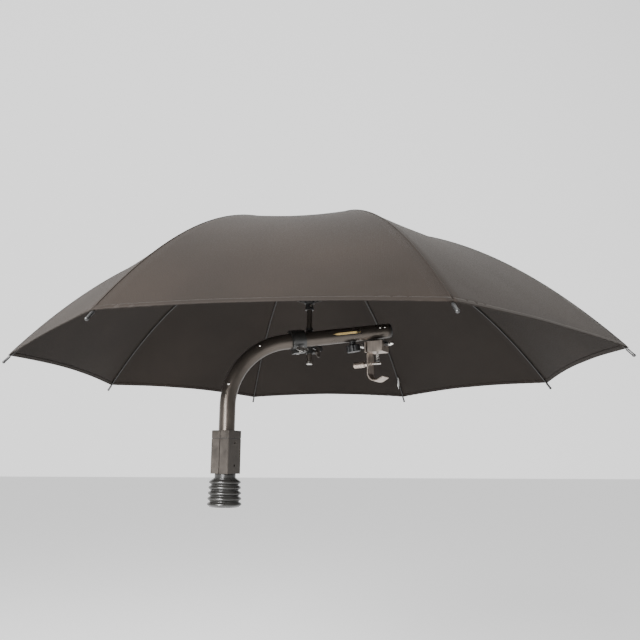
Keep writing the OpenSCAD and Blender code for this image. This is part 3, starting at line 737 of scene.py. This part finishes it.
def fold_radius(share):
    """Outside radius of the bellows by share of its height."""
    swell = 0.5 + 0.5 * math.cos(2 * math.pi * FOLDS * share)
    return (CREST_R - CREST_TAPER * share - ROOT_DEPTH * swell ** ROOT_POWER) * MM


def make_bellows():
    """Moulded rubber folds with rounded crests and narrow roots."""
    low, high = height("bellows", top=False), height("bellows")
    steps = FOLDS * FOLD_STEPS
    wall = RUBBER_WALL
    outer = [(fold_radius(i / steps), low + (high - low) * i / steps) for i in range(steps + 1)]
    inner = [(r - wall, z) for r, z in reversed(outer)]
    profile = outer + [(TUBE_R, high)] + [(TUBE_R, high - wall)] + inner[1:-1] \
        + [(TUBE_R, low + wall), (TUBE_R, low)]
    vertices, faces = turned(profile, 96, (0, 0))
    bellows = mesh_piece("bellows_skin", vertices, faces, "rubber", "mast")
    face_outwards(bellows)
    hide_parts("bellows")


make_bellows()


# ---------- plunger spring ----------

WIRE_R, COIL_R, COIL_TURNS = 0.55 * MM, 3.4 * MM, 5


def make_plunger_spring():
    """Round wire coil, which rides on the plunger."""
    low, high = height("plunger_spring", top=False), height("plunger_spring")
    centre = middle("plunger_spring")
    steps = COIL_TURNS * 24
    path = [(centre.x + COIL_R * math.cos(2 * math.pi * COIL_TURNS * i / steps),
             centre.y + COIL_R * math.sin(2 * math.pi * COIL_TURNS * i / steps),
             low + WIRE_R + (high - low - 2 * WIRE_R) * i / steps) for i in range(steps + 1)]
    vertices, faces = swept(path, 8, WIRE_R)
    spring = mesh_piece("plunger_coil", vertices, faces, "bright_steel", "plunger")
    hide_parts("plunger_spring")
    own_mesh(spring)


make_plunger_spring()


# ---------- edges of the hard parts ----------

ROUNDED = {
    0.6: ("block_half_left", "block_half_right", "block_top_clamp", "hook_block"),
    0.35: ("jaw_rear", "jaw_front", "swivel_arm", "swivel_lever", "shaft_socket", "arm_knob",
           "socket_wing", "clamp_wing", "knob_boss", "swivel_cap", "j_hook", "latch_knob",
           "runner", "runner_collar", "crown", "top_ferrule", "bellows_collar"),
}


def dress_frame():
    """Rounds the edges that a hand would feel and shades the rest smoothly."""
    widths = {name: width for width, names in ROUNDED.items() for name in names}
    for name, piece in NODES.items():
        if not piece.hide_render:
            dressed(piece, widths.get(name, 0) * MM)


dress_frame()


# ---------- floor and light ----------

FLOOR_HALF, FLOOR_Z = 30, -0.9
# World light grows from the camera's side (-Y) to the far side of the object
WORLD_SPAN = (-0.3, 0.9)
WORLD_LIGHT = (0.38, 1.6)
# Name, place, target, size and power of each lamp
LAMPS = (
    ("key", (-1.9, -2.1, 1.25), (0.1, -0.1, 0.4), (1.2, 1.2), 420),
    ("front_strip", (-0.85, -1.35, 0.2), (0.15, 0, 0.33), (0.35, 0.3), 14),
    ("top", (0.2, 0.6, 2.6), (0.2, 0, 0.4), (2.0, 2.0), 25),
)


def add_floor():
    mesh = bpy.data.meshes.new("floor")
    corners = ((-1, -1), (1, -1), (1, 1), (-1, 1))
    mesh.from_pydata([(x * FLOOR_HALF, y * FLOOR_HALF, FLOOR_Z) for x, y in corners], [],
                     [(0, 1, 2, 3)])
    floor = bpy.data.objects.new("floor", mesh)
    bpy.context.collection.objects.link(floor)
    material, _, shader = new_material("floor")
    shader.inputs["Base Color"].default_value = (0.9, 0.9, 0.9, 1)
    shader.inputs["Roughness"].default_value = 0.9
    shader.inputs["Emission Color"].default_value = (1, 1, 1, 1)
    shader.inputs["Emission Strength"].default_value = 0.3
    mesh.materials.append(material)


def add_light(name, place, target, size, power):
    """White area lamp that points at a target and isn't itself in the picture."""
    data = bpy.data.lights.new(name, "AREA")
    data.shape = "RECTANGLE"
    data.size, data.size_y = size
    data.energy = power
    light = bpy.data.objects.new(name, data)
    light.location = place
    way = Vector(target) - Vector(place)
    light.rotation_euler = way.to_track_quat("-Z", "Y").to_euler()
    light.visible_camera = False
    bpy.context.collection.objects.link(light)


def add_world():
    """White surroundings that grow brighter behind the object."""
    world = bpy.data.worlds.new("studio")
    bpy.context.scene.world = world
    world.use_nodes = True
    tree = world.node_tree
    background = tree.nodes["Background"]
    background.inputs["Color"].default_value = (1, 1, 1, 1)
    place = node(tree, "ShaderNodeTexCoord")
    parts = node(tree, "ShaderNodeSeparateXYZ")
    tree.links.new(place.outputs["Generated"], parts.inputs["Vector"])
    strength = remap(tree, parts.outputs["Y"], WORLD_SPAN, WORLD_LIGHT, "SMOOTHSTEP")
    tree.links.new(strength, background.inputs["Strength"])


add_floor()
add_world()
for lamp in LAMPS:
    add_light(*lamp)
